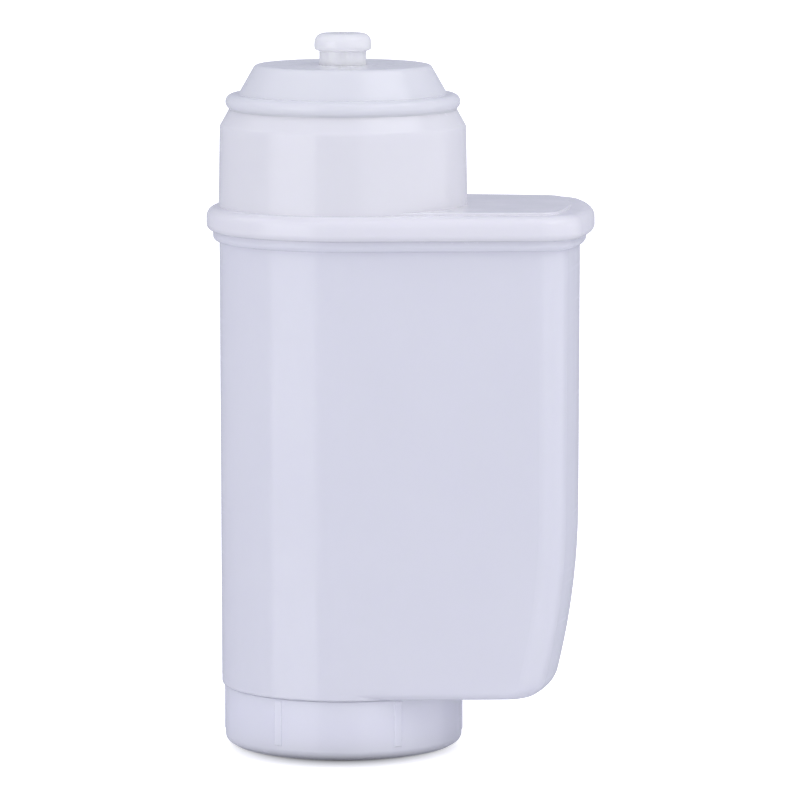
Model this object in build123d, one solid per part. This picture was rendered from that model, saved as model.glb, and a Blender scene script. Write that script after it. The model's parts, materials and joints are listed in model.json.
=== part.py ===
from build123d import *
from math import cos, degrees, radians, sin, sqrt
import os

# Water tank filter cartridge: a round drum with a flat wing on its +X side.
# Millimetres. Z is the drum's axis, and Z = 0 is the mouth of the outlet socket.
# Raw water enters the wing's floor, climbs through the wing, passes over the
# partition and comes down the drum to the socket.

# Drum and wing
DRUM_R = 22.15            # outer radius of the drum
TAPER = radians(4.8)      # each flank closes in by this angle towards the wing's end
WING_END = 42.45          # X of the wing's end wall
END_ARC = 60.0            # plan radius of the end wall
CORNER = 5.5              # plan radius of the wing's upright corners
WALL = 1.5
FLOOR_Z = 10.8            # underside of the drum and wing
RIM_Z = 92.8              # joint between body and lid
LEAN_Z = 43.5             # below this height the end wall leans in
LEAN_R = 128.0            # radius of that lean
TOE_R = 3.9               # rounding from end wall to floor
FLOOR_EDGE_R = 1.6        # under the wing
DRUM_EDGE_R = 0.4         # under the drum
DRAFT = 0.2               # the walls stand this much further in at the floor than at the rim

# Flange and lid
BODY_RIM_OUT = 1.15
BODY_RIM_LOW = 90.9
LIP_OUT = 2.3
LIP_TOP_EDGE_R = 1.9
LIP_LOW_EDGE_R = 1.2
LIP_END_EXTRA = 0.3
FLANGE_Z = 97.2
PANEL_IN = 1.7            # the raised roof panel is this far inside the body's wall
PANEL_RISE = 0.4
NECK_FOOT_R = 22.3
NECK_TOP_R = 22.03
SHOULDER_LOW = 111.2
SHOULDER_R = 20.4
LID_TOP = 114.4
MOUTH_R = 18.95

# Cap and knob
BEAD_R = 1.4
BEAD_CENTRE_R = 19.6
CONE_FOOT_R = 18.66
CONE_TOP_R = 15.7
CAP_TOP = 122.4
KNOB_TOP = 128.0
KNOB_HEAD_R = 5.1
KNOB_NECK_R = 4.2
KNOB_HEAD_LOW = 124.8
VENT_R = 0.9
SPIGOT_R = 2.9

# Foot, ring and shutter
FOOT_R = 20.3
FOOT_RIM = 2.15
FOOT_FLOOR = 1.6
HUB_R = 18.4
HUB_WALL = 1.6
PILLAR_LOW = 6.4
PILLARS = 3
PILLAR_ARC = 40.0         # degrees
RING_R = 21.35
SKIRT_R = 20.4            # inside of the ring's lower edge, which hides the foot
RUNNING_GAP = 0.06        # ring on hub
RING_LOW = 0.2
LEDGE_LOW = 2.25          # the ring's inner ledge rides on the foot here
RING_EDGE_R = 1.4
RING_TOP = 10.7
RIBS = 6
RIB_WIDTH = 1.6
RIB_LOW = 2.2
RIB_RISE = 0.17
SOCKET_R = 7.0
SOCKET_DEEP = 5.0
SOCKET_WALL = 2.2
SEAL_GROOVE_R = 7.6
SEAL_TOP = 7.0
OUTLET_R = 4.2
SHUTTER_LOW = 8.25
SHUTTER_TOP = 9.45
ARM_ARC = 14.0            # degrees
ARM_START = -90.0         # centre of the first arm at the softest setting
ARM_REACH = 19.65
KEYWAY_R = 19.8
PORT_IN = 11.5
PORT_OUT = 15.0
PORT_ARC = 16.0           # degrees
SETTING_STEP = 30.0       # degrees between two settings
SETTINGS = 3
POINTER_ANGLE = 105.0     # the cup's pointer, behind the drum
POINTER_SIZE = 1.2
POINTER_Z = 13.6
DOT_R = 0.55              # each setting is marked by that many dots on the ring
DOT_RISE = 0.25
DOT_PITCH = 1.6
DOT_Z = 6.4

# Inside
DECK_TOP = FLOOR_Z + WALL
PARTITION_X = 19.2
PARTITION_T = 1.2
BED_TOP = 85.0
FLEECE_T = 1.0
PLATE_T = 1.5
SLACK = 0.25              # gap between a loose inner piece and the wall
MEDIA_LOW = DECK_TOP + 0.2
PLATE_Z = BED_TOP + 0.2 + FLEECE_T + 0.1
GRILLE_X = 27.2
GRILLE_LONG = 8.6         # along X
GRILLE_WIDE = 20.0        # along Y
CHAMBER_R = 16.8
CHAMBER_TOP = DECK_TOP + 3.6
BASKET_R = 7.5
BASKET_TOP = 26.0

BASE = (Align.CENTER, Align.CENTER, Align.MIN)


def disc(radius, low, high):
    return Pos(0, 0, low) * Cylinder(radius, high - low, align=BASE)


def tube(outer, inner, low, high):
    return disc(outer, low, high) - disc(inner, low, high)


def block(x0, x1, wide, low, high):
    """Box from x0 to x1, centred on Y = 0."""
    middle = Pos((x0 + x1) / 2, 0, low)
    return middle * Box(x1 - x0, wide, high - low, align=BASE)


def sector(outer, inner, low, high, centre, arc):
    """Part of a tube, arc degrees wide about the angle centre."""
    section = Pos((outer + inner) / 2, (low + high) / 2) * Rectangle(outer - inner, high - low)
    return Rot(0, 0, centre - arc / 2) * revolve(Plane.XZ * section, Axis.Z, arc)


def turned(*edges):
    """Solid of revolution about Z; the profile's X is the radius."""
    return revolve(Plane.XZ * make_face(sum(edges[1:], edges[0])), Axis.Z)


def edges_at(shape, height):
    """Edges that lie wholly at this height."""
    flat = [e for e in shape.edges() if e.bounding_box().size.Z < 0.01]
    return [e for e in flat if abs(e.center().Z - height) < 0.01]


def circle_at(shape, height, least):
    """Round edges at this height whose radius is at least this much."""
    rounds = [e for e in edges_at(shape, height) if e.geom_type == GeomType.CIRCLE]
    return [e for e in rounds if e.radius > least]


def outline(grow, end):
    """Plan of drum and wing, moved out from the body's wall by grow, its end wall at X = end."""
    radius = DRUM_R + grow
    corner = CORNER + grow
    across = Vector(sin(TAPER), cos(TAPER))
    along = Vector(cos(TAPER), -sin(TAPER))
    arc_centre = Vector(end - END_ARC, 0)
    start = across * (radius - corner) - arc_centre
    half = start.dot(along)
    run = -half + sqrt(half ** 2 - start.dot(start) + (END_ARC - corner) ** 2)
    middle = across * (radius - corner) + along * run
    flank = middle + across * corner
    tip = arc_centre + (middle - arc_centre) * (END_ARC / (END_ARC - corner))
    bend = middle + ((flank + tip) * 0.5 - middle).normalized() * corner
    touch = across * radius
    upper = [(v.X, v.Y) for v in (touch, flank, bend, tip)]
    lower = [(x, -y) for x, y in upper]
    edges = [
        ThreePointArc(upper[0], (-radius, 0), lower[0]),
        Line(lower[0], lower[1]),
        ThreePointArc(lower[1], lower[2], lower[3]),
        ThreePointArc(lower[3], (end, 0), upper[3]),
        ThreePointArc(upper[3], upper[2], upper[1]),
        Line(upper[1], upper[0]),
    ]
    return make_face(sum(edges[1:], edges[0]))


def prism(grow, low, high, end_extra=0.0):
    return extrude(Pos(0, 0, low) * outline(grow, WING_END + grow + end_extra), high - low)


def rounding(radius, height):
    """How far a rounded bottom edge is set back at this height above it."""
    drop = max(0.0, radius - height)
    return radius - sqrt(radius ** 2 - drop ** 2)


def draft_at(z):
    return DRAFT * (RIM_Z - z) / (RIM_Z - FLOOR_Z)


def end_wall(grow, low):
    """X of the end wall as a function of Z: straight, then leaning in, then round the toe."""
    toe = TOE_R + grow
    lean = LEAN_R + grow
    lean_x = WING_END + grow - lean
    toe_z = low + toe
    toe_x = lean_x + sqrt((lean - toe) ** 2 - (LEAN_Z - toe_z) ** 2)
    meet_z = LEAN_Z - (LEAN_Z - toe_z) * lean / (lean - toe)

    def end_at(z):
        if z < meet_z:
            return toe_x + sqrt(max(0.0, toe ** 2 - (toe_z - z) ** 2))
        return lean_x + sqrt(lean ** 2 - max(0.0, LEAN_Z - z) ** 2)

    return end_at, meet_z


def hull(grow, low, high, edge_radius):
    """Drum and wing with the leaning end wall and its rounded toe."""
    end_at, meet_z = end_wall(grow, low)
    edge_levels = [low + edge_radius * (1 - cos(radians(a))) for a in range(0, 91, 15)]
    toe_levels = [low + edge_radius + (meet_z - low - edge_radius) * k / 6 for k in range(1, 7)]
    lean_levels = [meet_z + (LEAN_Z - meet_z) * k / 8 for k in range(9)]

    def section(z):
        inset = rounding(edge_radius, z - low) + draft_at(z)
        return Pos(0, 0, z) * outline(grow - inset, end_at(z) - draft_at(z))

    toe = loft([section(z) for z in edge_levels + toe_levels])
    lean = loft([section(z) for z in lean_levels])
    straight = loft([section(LEAN_Z), section(high)], ruled=True)
    return toe + lean + straight


def cavity(gap, low, high):
    """The space inside the body, less a gap to its walls."""
    return hull(-WALL - gap, DECK_TOP + gap, high, 0.6) & Pos(0, 0, low) * Box(200, 200, high - low, align=BASE)


def port_angles():
    """Bypass ports of the three groups; one more group opens at each setting."""
    return [120 * k + ARM_START + 30 for k in range(PILLARS)]


def body_cup():
    cup = hull(0, FLOOR_Z, RIM_Z, FLOOR_EDGE_R)
    rim = prism(BODY_RIM_OUT, BODY_RIM_LOW, RIM_Z)
    rim = fillet(edges_at(rim, BODY_RIM_LOW), 1.0)
    drum_r = DRUM_R - DRAFT - 0.02
    drum_foot = disc(drum_r, FLOOR_Z, FLOOR_Z + 3.0)
    drum_foot = fillet(circle_at(drum_foot, FLOOR_Z, 20), DRUM_EDGE_R)
    cup = cup + drum_foot + rim - hull(-WALL, DECK_TOP, RIM_Z, 0.6)
    for x in (PARTITION_X - 0.6, PARTITION_X + PARTITION_T + 0.6):
        wall_y = (DRUM_R - WALL - x * sin(TAPER)) / cos(TAPER)
        for side in (-1, 1):
            guide = Box(1.0, 1.5, BED_TOP - FLOOR_Z - 0.5, align=BASE)
            cup += Pos(x, side * (wall_y - 0.45), FLOOR_Z + 0.5) * guide
    pointer = Rot(0, 0, -90) * RegularPolygon(POINTER_SIZE, 3)
    pointer = extrude(Plane.YZ * Pos(0, POINTER_Z) * pointer, 1.0)
    cup += Rot(0, 0, POINTER_ANGLE) * Pos(DRUM_R - 0.9, 0, 0) * pointer
    cup -= disc(OUTLET_R, FLOOR_Z, DECK_TOP)
    for angle in port_angles():
        cup -= sector(PORT_OUT, PORT_IN, FLOOR_Z, DECK_TOP, angle, PORT_ARC)
    cup -= block(GRILLE_X - GRILLE_LONG / 2, GRILLE_X + GRILLE_LONG / 2, GRILLE_WIDE, FLOOR_Z, DECK_TOP)
    return cup


def lid_shell():
    lip = prism(LIP_OUT, RIM_Z, FLANGE_Z, LIP_END_EXTRA)
    lip = fillet(edges_at(lip, FLANGE_Z), LIP_TOP_EDGE_R)
    lip = fillet(edges_at(lip, RIM_Z), LIP_LOW_EDGE_R)
    panel = prism(-PANEL_IN, FLANGE_Z, FLANGE_Z + PANEL_RISE)
    panel = fillet(edges_at(panel, FLANGE_Z + PANEL_RISE), 0.35)
    skirt = prism(-WALL - 0.1, RIM_Z - 3.0, RIM_Z) - prism(-2 * WALL, RIM_Z - 3.0, RIM_Z)
    neck = turned(
        Polyline((0, FLANGE_Z), (NECK_FOOT_R, FLANGE_Z), (NECK_TOP_R, SHOULDER_LOW)),
        ThreePointArc((NECK_TOP_R, SHOULDER_LOW), (NECK_TOP_R - 0.08, SHOULDER_LOW + 0.42),
                      (NECK_TOP_R - 0.3, SHOULDER_LOW + 0.8)),
        Polyline((NECK_TOP_R - 0.3, SHOULDER_LOW + 0.8), (SHOULDER_R, LID_TOP), (0, LID_TOP), (0, FLANGE_Z)),
    )
    bore = turned(
        Polyline((0, FLANGE_Z - WALL - 0.2), (NECK_FOOT_R - WALL, FLANGE_Z - WALL - 0.2),
                 (NECK_TOP_R - WALL, SHOULDER_LOW), (MOUTH_R, LID_TOP - 1.6), (MOUTH_R, LID_TOP + 1),
                 (0, LID_TOP + 1), (0, FLANGE_Z - WALL - 0.2)),
    )
    roof_space = prism(-2 * WALL, RIM_Z - 4, FLANGE_Z - WALL)
    return lip + panel + neck + skirt - roof_space - bore


def top_cap():
    bead_z = LID_TOP + BEAD_R
    rise = sqrt(0.5) * BEAD_R
    land = sqrt(BEAD_R ** 2 - (SHOULDER_R - BEAD_CENTRE_R) ** 2)
    profile = [
        Polyline((0, LID_TOP), (SHOULDER_R, LID_TOP), (SHOULDER_R, bead_z - land)),
        ThreePointArc((SHOULDER_R, bead_z - land), (BEAD_CENTRE_R + rise, bead_z - rise),
                      (BEAD_CENTRE_R + BEAD_R, bead_z)),
        ThreePointArc((BEAD_CENTRE_R + BEAD_R, bead_z), (BEAD_CENTRE_R + rise, bead_z + rise),
                      (BEAD_CENTRE_R, bead_z + BEAD_R)),
        Polyline((BEAD_CENTRE_R, bead_z + BEAD_R), (CONE_FOOT_R, bead_z + BEAD_R), (CONE_TOP_R, CAP_TOP),
                 (0, CAP_TOP), (0, LID_TOP)),
    ]
    cap = turned(*profile)
    cap = fillet(circle_at(cap, CAP_TOP, 10), 1.0)
    hollow = turned(
        Polyline((0, LID_TOP), (CONE_FOOT_R - 2 * WALL, LID_TOP), (CONE_FOOT_R - 2 * WALL, LID_TOP + 1.5),
                 (CONE_TOP_R - WALL, CAP_TOP - WALL), (0, CAP_TOP - WALL), (0, LID_TOP)),
    )
    plug = tube(MOUTH_R - 0.1, CONE_FOOT_R - 2 * WALL, LID_TOP - 3.0, LID_TOP)
    return cap + plug - hollow - disc(SPIGOT_R + 0.05, LID_TOP, CAP_TOP)


def pull_knob():
    edge = 1.6
    head = turned(
        Polyline((0, KNOB_HEAD_LOW), (KNOB_NECK_R, KNOB_HEAD_LOW), (KNOB_HEAD_R - 0.1, KNOB_HEAD_LOW + 0.3),
                 (KNOB_HEAD_R, KNOB_HEAD_LOW + 0.8), (KNOB_HEAD_R, KNOB_TOP - 2.0), (KNOB_HEAD_R - 0.04, KNOB_TOP - edge)),
        ThreePointArc((KNOB_HEAD_R - 0.04, KNOB_TOP - edge), (KNOB_HEAD_R - 0.50, KNOB_TOP - 0.48),
                      (KNOB_HEAD_R - edge, KNOB_TOP)),
        Polyline((KNOB_HEAD_R - edge, KNOB_TOP), (0, KNOB_TOP), (0, KNOB_HEAD_LOW)),
    )
    neck = disc(KNOB_NECK_R, CAP_TOP, KNOB_HEAD_LOW)
    spigot = disc(SPIGOT_R, CAP_TOP - 3.4, CAP_TOP)
    return head + neck + spigot - disc(VENT_R, CAP_TOP - 4, KNOB_TOP + 1)


def vent_retainer():
    low = CAP_TOP - 4.6
    ring = tube(SPIGOT_R + 2.2, SPIGOT_R + 0.05, CAP_TOP - 3.4, CAP_TOP - WALL - 0.1)
    return ring + tube(SPIGOT_R + 2.2, SPIGOT_R - 1.1, low, CAP_TOP - 3.8) + tube(
        SPIGOT_R + 2.2, SPIGOT_R + 0.05, CAP_TOP - 3.8, CAP_TOP - 3.4)


def vent_membrane():
    return disc(SPIGOT_R, CAP_TOP - 3.75, CAP_TOP - 3.45)


def base_foot():
    foot = disc(FOOT_R, 0, FOOT_RIM)
    foot = chamfer(circle_at(foot, 0, 10), 0.3)
    foot -= disc(HUB_R - HUB_WALL, FOOT_FLOOR, FOOT_RIM)
    foot += tube(HUB_R, HUB_R - HUB_WALL, FOOT_RIM, PILLAR_LOW)
    for k in range(PILLARS):
        foot += sector(HUB_R, HUB_R - HUB_WALL, PILLAR_LOW, FLOOR_Z, 120 * k, PILLAR_ARC)
    foot += disc(SOCKET_R + SOCKET_WALL, FOOT_FLOOR, SEAL_TOP + 1.0)
    foot -= disc(SOCKET_R, 0, SOCKET_DEEP)
    foot -= disc(SEAL_GROOVE_R, SOCKET_DEEP, SEAL_TOP)
    foot -= disc(OUTLET_R, SEAL_TOP, SEAL_TOP + 1.0)
    for k in range(PILLARS):
        foot -= sector(PORT_OUT, PORT_IN, 0, FOOT_FLOOR, 120 * k + 60, 70)
        foot -= sector(PORT_OUT, PORT_IN, 0, FOOT_FLOOR, 120 * k, 20)
    return foot


def outlet_seal():
    ring = tube(SEAL_GROOVE_R - 0.05, OUTLET_R + 0.4, SOCKET_DEEP + 0.05, SEAL_TOP - 0.05)
    return ring


def arm_angles():
    return [120 * k + ARM_START for k in range(PILLARS)]


def selector_ring():
    ring = disc(RING_R, RING_LOW, RING_TOP)
    ring = fillet(circle_at(ring, RING_LOW, 20), RING_EDGE_R)
    ring = fillet(circle_at(ring, RING_TOP, 20), 0.25)
    ring -= disc(HUB_R + RUNNING_GAP, RING_LOW, RING_TOP)
    ring -= disc(SKIRT_R, RING_LOW, LEDGE_LOW)
    for k in range(RIBS):
        rib = Box(2 * RIB_RISE + 1.2, RIB_WIDTH, RING_TOP - RIB_LOW - 0.3, align=BASE)
        rib = fillet([e for e in rib.edges() if e.center().X > 0.1], 0.2)
        ring += Rot(0, 0, 360 / RIBS * k) * Pos(RING_R - 0.6, 0, RIB_LOW) * rib
    for dot in setting_dots():
        ring += dot
    for angle in arm_angles():
        ring -= sector(KEYWAY_R, HUB_R - 1, SHUTTER_LOW - 0.15, RING_TOP, angle, ARM_ARC + 1)
    return ring


def setting_dots():
    dots = []
    for setting in range(SETTINGS):
        for k in range(setting + 1):
            shift = degrees((k - setting / 2) * DOT_PITCH / RING_R)
            turn = Rot(0, 0, POINTER_ANGLE - SETTING_STEP * setting + shift)
            dots.append(turn * Pos(RING_R + DOT_RISE - DOT_R, 0, DOT_Z) * Sphere(DOT_R))
    return dots


def bypass_shutter():
    plate = tube(HUB_R - HUB_WALL - 0.3, OUTLET_R, SHUTTER_LOW, SHUTTER_TOP)
    for angle in arm_angles():
        plate += sector(ARM_REACH, PORT_OUT + 1, SHUTTER_LOW, SHUTTER_TOP, angle, ARM_ARC)
    for angle in port_angles():
        plate -= sector(PORT_OUT, PORT_IN, SHUTTER_LOW, SHUTTER_TOP, angle - SETTING_STEP, PORT_ARC)
    return plate


def port_gasket():
    gasket = tube(PORT_OUT + 1.2, OUTLET_R + 1.0, SHUTTER_TOP + 0.12, FLOOR_Z)
    for angle in port_angles():
        gasket -= sector(PORT_OUT, PORT_IN, SHUTTER_TOP, FLOOR_Z, angle, PORT_ARC)
    return gasket


def inlet_grille():
    long = GRILLE_LONG - 0.1
    wide = GRILLE_WIDE - 0.1
    grille = block(GRILLE_X - long / 2, GRILLE_X + long / 2, wide, FLOOR_Z + 0.2, DECK_TOP)
    grille += block(GRILLE_X - long / 2 - 1, GRILLE_X + long / 2 + 1, wide + 2, DECK_TOP, DECK_TOP + 0.8)
    slots = 7
    pitch = wide / slots
    for k in range(slots):
        y = (k - (slots - 1) / 2) * pitch
        slot = Box(long - 2, 1.2, 4, align=BASE)
        grille -= Pos(GRILLE_X, y, FLOOR_Z) * slot
    return grille


def inlet_fleece():
    half = GRILLE_LONG / 2 + 0.8
    return block(GRILLE_X - half, GRILLE_X + half, GRILLE_WIDE + 1.6, DECK_TOP + 0.85, DECK_TOP + 1.85)


def partition_wall():
    sheet = block(PARTITION_X, PARTITION_X + PARTITION_T, 100, MEDIA_LOW, PLATE_Z + PLATE_T)
    return sheet & cavity(0.1, MEDIA_LOW, RIM_Z - 3.1)


def outlet_strainer():
    strainer = disc(CHAMBER_R, DECK_TOP, CHAMBER_TOP)
    strainer -= disc(CHAMBER_R - 1.2, DECK_TOP, CHAMBER_TOP - 1.2)
    strainer += disc(BASKET_R, CHAMBER_TOP, BASKET_TOP)
    strainer -= disc(BASKET_R - 1.2, CHAMBER_TOP - 1.3, BASKET_TOP - 1.2)
    bars = 12
    for k in range(bars):
        slot = Box(4, 1.6, BASKET_TOP - CHAMBER_TOP - 3.2, align=BASE)
        strainer -= Rot(0, 0, 360 / bars * k) * Pos(BASKET_R, 0, CHAMBER_TOP + 1) * slot
    return strainer


def outlet_fleece():
    return tube(BASKET_R + 0.9, BASKET_R + 0.1, CHAMBER_TOP + 0.1, BASKET_TOP)


def drum_side(gap, low, high):
    return cavity(gap, low, high) & block(-40, PARTITION_X - 1.3 - gap, 100, low, high)


def wing_side(gap, low, high):
    return cavity(gap, low, high) & block(PARTITION_X + PARTITION_T + 1.3 + gap, 60, 100, low, high)


def drum_media():
    bed = drum_side(SLACK, MEDIA_LOW, BED_TOP)
    bed -= disc(CHAMBER_R + 0.2, DECK_TOP, CHAMBER_TOP + 0.2)
    return bed - disc(BASKET_R + 1.1, CHAMBER_TOP, BASKET_TOP + 0.2)


def wing_media():
    bed = wing_side(SLACK, MEDIA_LOW, BED_TOP)
    half = GRILLE_LONG / 2 + 1.2
    return bed - block(GRILLE_X - half, GRILLE_X + half, GRILLE_WIDE + 2.4, DECK_TOP, DECK_TOP + 2.0)


def fleece_over(bed_side):
    return bed_side(SLACK, BED_TOP + 0.1, BED_TOP + 0.1 + FLEECE_T)


def perforated(plate, x0, x1, low):
    """Plate with a square grid of holes between x0 and x1."""
    hole = 1.1
    pitch = 4.4
    columns = int((x1 - x0) / pitch)
    for i in range(columns + 1):
        for j in range(-3, 4):
            plate -= Pos(x0 + i * pitch, j * pitch, low) * Cylinder(hole, PLATE_T, align=BASE)
    return plate


def drum_plate():
    plate = drum_side(SLACK, PLATE_Z, PLATE_Z + PLATE_T)
    return perforated(plate, -13.2, 13.2, PLATE_Z)


def wing_plate():
    plate = wing_side(SLACK, PLATE_Z, PLATE_Z + PLATE_T)
    return perforated(plate, 25.6, 36.0, PLATE_Z)


def bed_pad():
    """Open-cell foam that fills the lid's drum and keeps the granules packed."""
    pad = disc(MOUTH_R - 0.6, FLANGE_Z - 2.0, LID_TOP - 3.5)
    legs = disc(MOUTH_R - 4.0, PLATE_Z + PLATE_T + 0.1, FLANGE_Z - 2.0)
    return pad + legs


NODES = {
    "body_cup": body_cup,
    "lid_shell": lid_shell,
    "top_cap": top_cap,
    "pull_knob": pull_knob,
    "vent_retainer": vent_retainer,
    "vent_membrane": vent_membrane,
    "base_foot": base_foot,
    "outlet_seal": outlet_seal,
    "selector_ring": selector_ring,
    "bypass_shutter": bypass_shutter,
    "port_gasket": port_gasket,
    "inlet_grille": inlet_grille,
    "inlet_fleece": inlet_fleece,
    "partition_wall": partition_wall,
    "outlet_strainer": outlet_strainer,
    "outlet_fleece": outlet_fleece,
    "drum_media": drum_media,
    "wing_media": wing_media,
    "drum_top_fleece": lambda: fleece_over(drum_side),
    "wing_top_fleece": lambda: fleece_over(wing_side),
    "drum_plate": drum_plate,
    "wing_plate": wing_plate,
    "bed_pad": bed_pad,
}

os.makedirs("parts", exist_ok=True)
for name, make in NODES.items():
    export_step(make(), f"parts/{name}.step")
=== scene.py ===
import json
import math

import bpy
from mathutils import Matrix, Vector

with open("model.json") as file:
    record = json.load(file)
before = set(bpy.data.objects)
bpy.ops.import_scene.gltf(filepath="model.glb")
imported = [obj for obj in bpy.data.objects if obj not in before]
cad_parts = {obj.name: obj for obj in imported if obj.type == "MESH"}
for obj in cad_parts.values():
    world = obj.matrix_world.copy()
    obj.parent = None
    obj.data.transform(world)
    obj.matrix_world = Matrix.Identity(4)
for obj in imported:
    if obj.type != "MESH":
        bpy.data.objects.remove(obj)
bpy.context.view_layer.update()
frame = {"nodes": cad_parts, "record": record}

MM = 0.001

# Camera, in millimetres and degrees
VIEW_AZIMUTH = 2.6
VIEW_PITCH = 7.2
VIEW_DISTANCE = 1070.0
VIEW_SIDE = 10.2         # the optical axis passes this far to the right of the drum's axis
VIEW_HEIGHT = 62.0       # and crosses the drum's axis plane at this height
LENS = 270.0

# Studio: each softbox fills a span of directions. Azimuth 0 is in front, 90 the wing's end.
LAMP_DISTANCE = 1.5
FLOOR_HALF = 12.0
FLOOR_COLOUR = (0.86, 0.86, 0.87, 1)
FLOOR_ROUGH = 0.9
FLOOR_GAP = 0.02         # millimetres below the foot
FLOOR_LIFT = 0.9         # emission seen by the camera only
# Painted contact shadow on the floor: a grey disc in front of the foot, where the floor's colour and its
# camera-only emission are darkened.
PAINTED_SHADOW_SHIFT = 9.0         # millimetres: the painted contact shadow's centre is this far in front of the foot's
PAINTED_SHADOW_DARK_R = 10.0
PAINTED_SHADOW_EDGE_R = 24.0
PAINTED_SHADOW_GREY = 0.17
SOFTBOXES = (
    ("left_strip", (-67, -22), (-28, 18), 1.85),
    ("left_high", (-112, -22), (20, 60), 0.52),
    ("top_front", (-22, 69), (60, 78), 0.62),
    ("right_low", (20, 113), (-28, 18), 0.86),
    ("right_window", (30, 98), (34, 57), 1.75),
    ("right_high", (104, 130), (20, 74), 0.3),
)
SKY = (0.78, 0.80, 0.97, 1)
SKY_STRENGTH = 0.6

# Plastics: linear base colours. The empty lid and cap pass more light than the filled body.
BODY_WHITE = (0.815, 0.812, 0.875)
LID_WHITE = (0.872, 0.860, 0.886)
CAP_WHITE = (0.822, 0.824, 0.848)
KNOB_WHITE = (0.895, 0.892, 0.892)
RING_WHITE = (0.850, 0.848, 0.920)
PLASTIC_IOR = 1.49
GLOW = 0.35              # share of light scattered under the surface
GLOW_DEPTH = 2.8         # millimetres


def link(obj):
    bpy.context.collection.objects.link(obj)
    return obj


def camera():
    data = bpy.data.cameras.new("camera")
    data.lens = LENS
    data.sensor_width = 36.0
    data.clip_start = 0.05
    data.clip_end = 100.0
    eye = link(bpy.data.objects.new("camera", data))
    azimuth, pitch = math.radians(VIEW_AZIMUTH), math.radians(VIEW_PITCH)
    right = Vector((math.cos(azimuth), math.sin(azimuth), 0))
    back = Vector((math.sin(azimuth), -math.cos(azimuth), 0))
    target = right * VIEW_SIDE * MM + Vector((0, 0, VIEW_HEIGHT * MM))
    eye.location = target + (back + Vector((0, 0, math.tan(pitch)))) * VIEW_DISTANCE * MM
    eye.rotation_mode = "QUATERNION"
    eye.rotation_quaternion = (target - eye.location).to_track_quat("-Z", "Y")
    bpy.context.scene.camera = eye


def softbox(name, azimuths, elevations, radiance):
    azimuth, elevation = (math.radians(sum(span) / 2) for span in (azimuths, elevations))
    wide, high = (2 * LAMP_DISTANCE * math.tan(math.radians(span[1] - span[0]) / 2)
                  for span in (azimuths, elevations))
    wide *= math.cos(elevation)
    data = bpy.data.lights.new(name, "AREA")
    data.shape = "RECTANGLE"
    data.size, data.size_y = wide, high
    data.energy = radiance * math.pi * wide * high
    lamp = link(bpy.data.objects.new(name, data))
    level = math.cos(elevation)
    away = Vector((math.sin(azimuth) * level, -math.cos(azimuth) * level, math.sin(elevation)))
    lamp.location = Vector((0, 0, VIEW_HEIGHT * MM)) + away * LAMP_DISTANCE
    lamp.rotation_mode = "QUATERNION"
    lamp.rotation_quaternion = (-away).to_track_quat("-Z", "Y")


class Nodes:
    """Short calls for building one material's node tree."""

    def __init__(self, name):
        self.material = bpy.data.materials.new(name)
        self.material.use_nodes = True
        self.tree = self.material.node_tree
        self.shader = self.tree.nodes["Principled BSDF"]

    def add(self, kind, inputs=None, **settings):
        node = self.tree.nodes.new("ShaderNode" + kind)
        for key, value in settings.items():
            setattr(node, key, value)
        for key, value in (inputs or {}).items():
            self.put(node, key, value)
        return node

    def put(self, node, key, value):
        if isinstance(value, bpy.types.NodeSocket):
            self.tree.links.new(value, node.inputs[key])
        else:
            node.inputs[key].default_value = value

    def place(self):
        return self.add("TexCoord").outputs["Object"]

    def noise(self, scale, detail=3.0, roughness=0.5, stretch=(1, 1, 1)):
        """Noise whose scale is in features per metre."""
        where = self.add("Mapping", {"Vector": self.place(), "Scale": stretch}).outputs[0]
        return self.add("TexNoise", {"Vector": where, "Scale": scale, "Detail": detail,
                                     "Roughness": roughness}).outputs["Fac"]

    def spread(self, value, low, high, start=0.3, end=0.7):
        """Maps start..end of a 0 to 1 value to low..high."""
        return self.add("MapRange", {"Value": value, "From Min": start, "From Max": end,
                                     "To Min": low, "To Max": high}).outputs[0]

    def maths(self, operation, a, b=0.0):
        return self.add("Math", {0: a, 1: b}, operation=operation).outputs[0]

    def blend(self, factor, first, second, mode="MIX"):
        node = self.add("Mix", data_type="RGBA", blend_type=mode)
        for socket, value in ((node.inputs[0], factor), (node.inputs[6], first), (node.inputs[7], second)):
            if isinstance(value, bpy.types.NodeSocket):
                self.tree.links.new(value, socket)
            else:
                socket.default_value = value
        return node.outputs[2]

    def bump(self, height, distance, strength=1.0, under=None):
        node = self.add("Bump", {"Height": height, "Distance": distance, "Strength": strength})
        if under is not None:
            self.tree.links.new(under, node.inputs["Normal"])
        return node.outputs["Normal"]

    def constants(self, **values):
        """Sockets that are the same all over the surface."""
        for key, value in values.items():
            self.shader.inputs[key.replace("_", " ")].default_value = value


def tone(colour, gain, shift=(1, 1, 1)):
    return tuple(c * gain * s for c, s in zip(colour, shift)) + (1,)


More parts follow.
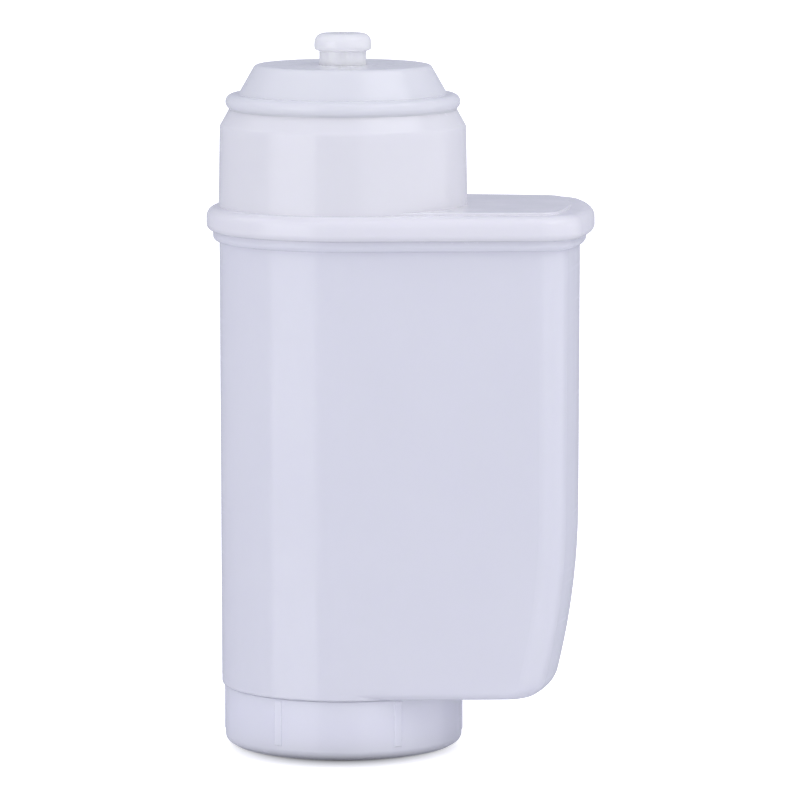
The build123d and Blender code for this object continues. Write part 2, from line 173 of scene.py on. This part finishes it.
def moulded(name, colour, gloss=0.17, scratches=1.0):
    """Injection moulded polypropylene: cloudy colour, flow marks, polish haze and hairline wear."""
    m = Nodes(name)
    cloud = m.noise(28, 2)
    flow = m.noise(60, 3, 0.6, (1, 1, 0.12))
    cool = tone(colour, 0.988, (1, 1, 1.006))
    warm = tone(colour, 1.010, (1.004, 1.002, 1))
    hue = m.blend(m.spread(cloud, 0, 1), cool, warm)
    hue = m.blend(m.spread(flow, 0, 0.35), hue, tone(colour, 0.982))
    edge = m.add("NewGeometry").outputs["Pointiness"]
    worn = m.spread(edge, 0, 1, 0.52, 0.60)
    rub = m.maths("MULTIPLY", worn, m.spread(m.noise(900, 4, 0.7), 0, 1, 0.40, 0.65))
    hue = m.blend(m.maths("MULTIPLY", rub, 0.35), hue, tone(colour, 1.04))
    dust = m.spread(m.noise(2600, 2, 0.5), 0, 1, 0.70, 0.78)
    hue = m.blend(m.maths("MULTIPLY", dust, 0.10), hue, (0.62, 0.61, 0.60, 1))
    m.put(m.shader, "Base Color", hue)
    haze = m.spread(m.noise(45, 4, 0.6), gloss - 0.025, gloss + 0.045)
    hair = m.spread(m.noise(520, 2, 0.5, (0.05, 0.05, 1)), 0, 0.05 * scratches, 0.62, 0.72)
    rough = m.maths("ADD", m.maths("ADD", haze, hair), m.maths("MULTIPLY", rub, 0.10))
    m.put(m.shader, "Roughness", rough)
    peel = m.bump(m.noise(260, 2, 0.45), 0.00005, 0.22)
    grain = m.bump(m.noise(5200, 2, 0.6), 0.000006, 0.30, peel)
    lines = m.bump(m.noise(800, 2, 0.5, (0.04, 0.04, 1)), 0.000008, 0.25 * scratches, grain)
    m.put(m.shader, "Normal", lines)
    m.constants(IOR=PLASTIC_IOR, Subsurface_Weight=GLOW, Subsurface_Scale=GLOW_DEPTH * MM,
                Subsurface_Radius=(1.0, 0.95, 1.1))
    return m.material


def rubber():
    m = Nodes("seal_rubber")
    hue = m.blend(m.spread(m.noise(180, 4), 0, 1), (0.030, 0.031, 0.035, 1), (0.052, 0.053, 0.058, 1))
    m.put(m.shader, "Base Color", hue)
    m.put(m.shader, "Roughness", m.spread(m.noise(700, 3), 0.45, 0.68))
    m.put(m.shader, "Normal", m.bump(m.noise(3500, 3), 0.00001, 0.6))
    m.constants(IOR=1.5)
    return m.material


def fibrous(name, light, dark, scale):
    """Fleece, foam or film: matted fibres as a tangle of stretched noise."""
    m = Nodes(name)
    tangle = m.maths("MAXIMUM", m.noise(scale, 4, 0.7, (1, 0.15, 1)), m.noise(scale, 4, 0.7, (0.15, 1, 1)))
    m.put(m.shader, "Base Color", m.blend(m.spread(tangle, 0, 1, 0.4, 0.75), dark, light))
    m.put(m.shader, "Roughness", m.spread(tangle, 0.95, 0.75))
    m.put(m.shader, "Normal", m.bump(tangle, 0.0002, 0.8))
    m.constants(Sheen_Weight=0.3, Sheen_Roughness=0.6)
    return m.material


def granulate():
    """Amber resin beads with black carbon grains."""
    m = Nodes("granulate")
    cells = m.add("TexVoronoi", {"Vector": m.place(), "Scale": 1500.0, "Randomness": 1.0})
    pick = m.add("SeparateColor", {"Color": cells.outputs["Color"]}).outputs[0]
    carbon = m.spread(pick, 0, 1, 0.74, 0.76)
    amber = m.blend(pick, (0.34, 0.17, 0.05, 1), (0.62, 0.40, 0.16, 1))
    m.put(m.shader, "Base Color", m.blend(carbon, amber, (0.012, 0.012, 0.013, 1)))
    m.put(m.shader, "Roughness", m.spread(carbon, 0.25, 0.7, 0, 1))
    m.put(m.shader, "Normal", m.bump(cells.outputs["Distance"], 0.0004, 1.0))
    m.constants(IOR=1.55)
    return m.material


def floor():
    mesh = bpy.data.meshes.new("floor")
    s = FLOOR_HALF
    mesh.from_pydata([(-s, -s, 0), (s, -s, 0), (s, s, 0), (-s, s, 0)], [], [(0, 1, 2, 3)])
    ground = link(bpy.data.objects.new("floor", mesh))
    ground.location.z = -FLOOR_GAP * MM
    m = Nodes("floor")
    m.constants(Roughness=FLOOR_ROUGH, Emission_Color=(1, 1, 1, 1))
    # Painted contact shadow: inside a disc centred in front of the foot, the floor's colour fades to grey
    # and its camera-only emission fades out.
    centre = m.add("VectorMath", {0: m.place(), 1: (0, PAINTED_SHADOW_SHIFT * MM, 0)}, operation="ADD").outputs[0]
    reach = m.add("VectorMath", {0: centre}, operation="LENGTH").outputs["Value"]
    outside_painted_shadow = m.spread(reach, 0, 1, PAINTED_SHADOW_DARK_R * MM, PAINTED_SHADOW_EDGE_R * MM)
    seen = m.add("LightPath").outputs["Is Camera Ray"]
    m.put(m.shader, "Emission Strength", m.maths("MULTIPLY", m.maths("MULTIPLY", seen, outside_painted_shadow), FLOOR_LIFT))
    floor_with_painted_shadow = m.blend(outside_painted_shadow, (PAINTED_SHADOW_GREY, PAINTED_SHADOW_GREY, PAINTED_SHADOW_GREY, 1), FLOOR_COLOUR)
    m.put(m.shader, "Base Color", floor_with_painted_shadow)
    mesh.materials.append(m.material)
    ground.visible_glossy = False


def sky():
    world = bpy.data.worlds.new("world")
    world.use_nodes = True
    background = world.node_tree.nodes["Background"]
    background.inputs["Color"].default_value = SKY
    background.inputs["Strength"].default_value = SKY_STRENGTH
    bpy.context.scene.world = world


def finish_nodes():
    """Gives every CAD node its material."""
    body = moulded("body_plastic", BODY_WHITE)
    lid = moulded("lid_plastic", LID_WHITE)
    cap = moulded("cap_plastic", CAP_WHITE)
    knob = moulded("knob_plastic", KNOB_WHITE, 0.20)
    ring = moulded("ring_plastic", RING_WHITE, 0.20, 1.6)
    inner = moulded("inner_plastic", BODY_WHITE, 0.32)
    seal = rubber()
    fleece = fibrous("fleece", (0.86, 0.86, 0.83, 1), (0.55, 0.55, 0.52, 1), 2200)
    foam = fibrous("foam", (0.80, 0.80, 0.74, 1), (0.35, 0.35, 0.31, 1), 1400)
    film = fibrous("film", (0.90, 0.90, 0.90, 1), (0.78, 0.78, 0.78, 1), 6000)
    beads = granulate()
    by_slot = {"inner_white": inner, "seal_rubber": seal, "fleece": fleece, "foam": foam,
               "granulate": beads, "membrane": film, "ring_white": ring, "shell_white": body}
    own = {"lid_shell": lid, "top_cap": cap, "pull_knob": knob}
    slots = {part["node"]: part["material_slot"] for part in frame["record"]["subparts"]}
    for name, node in frame["nodes"].items():
        for place in node.material_slots:
            place.material = own.get(name, by_slot[slots[name]])


camera()
floor()
sky()
for lamp in SOFTBOXES:
    softbox(*lamp)
bpy.context.scene.view_settings.view_transform = "Standard"
finish_nodes()
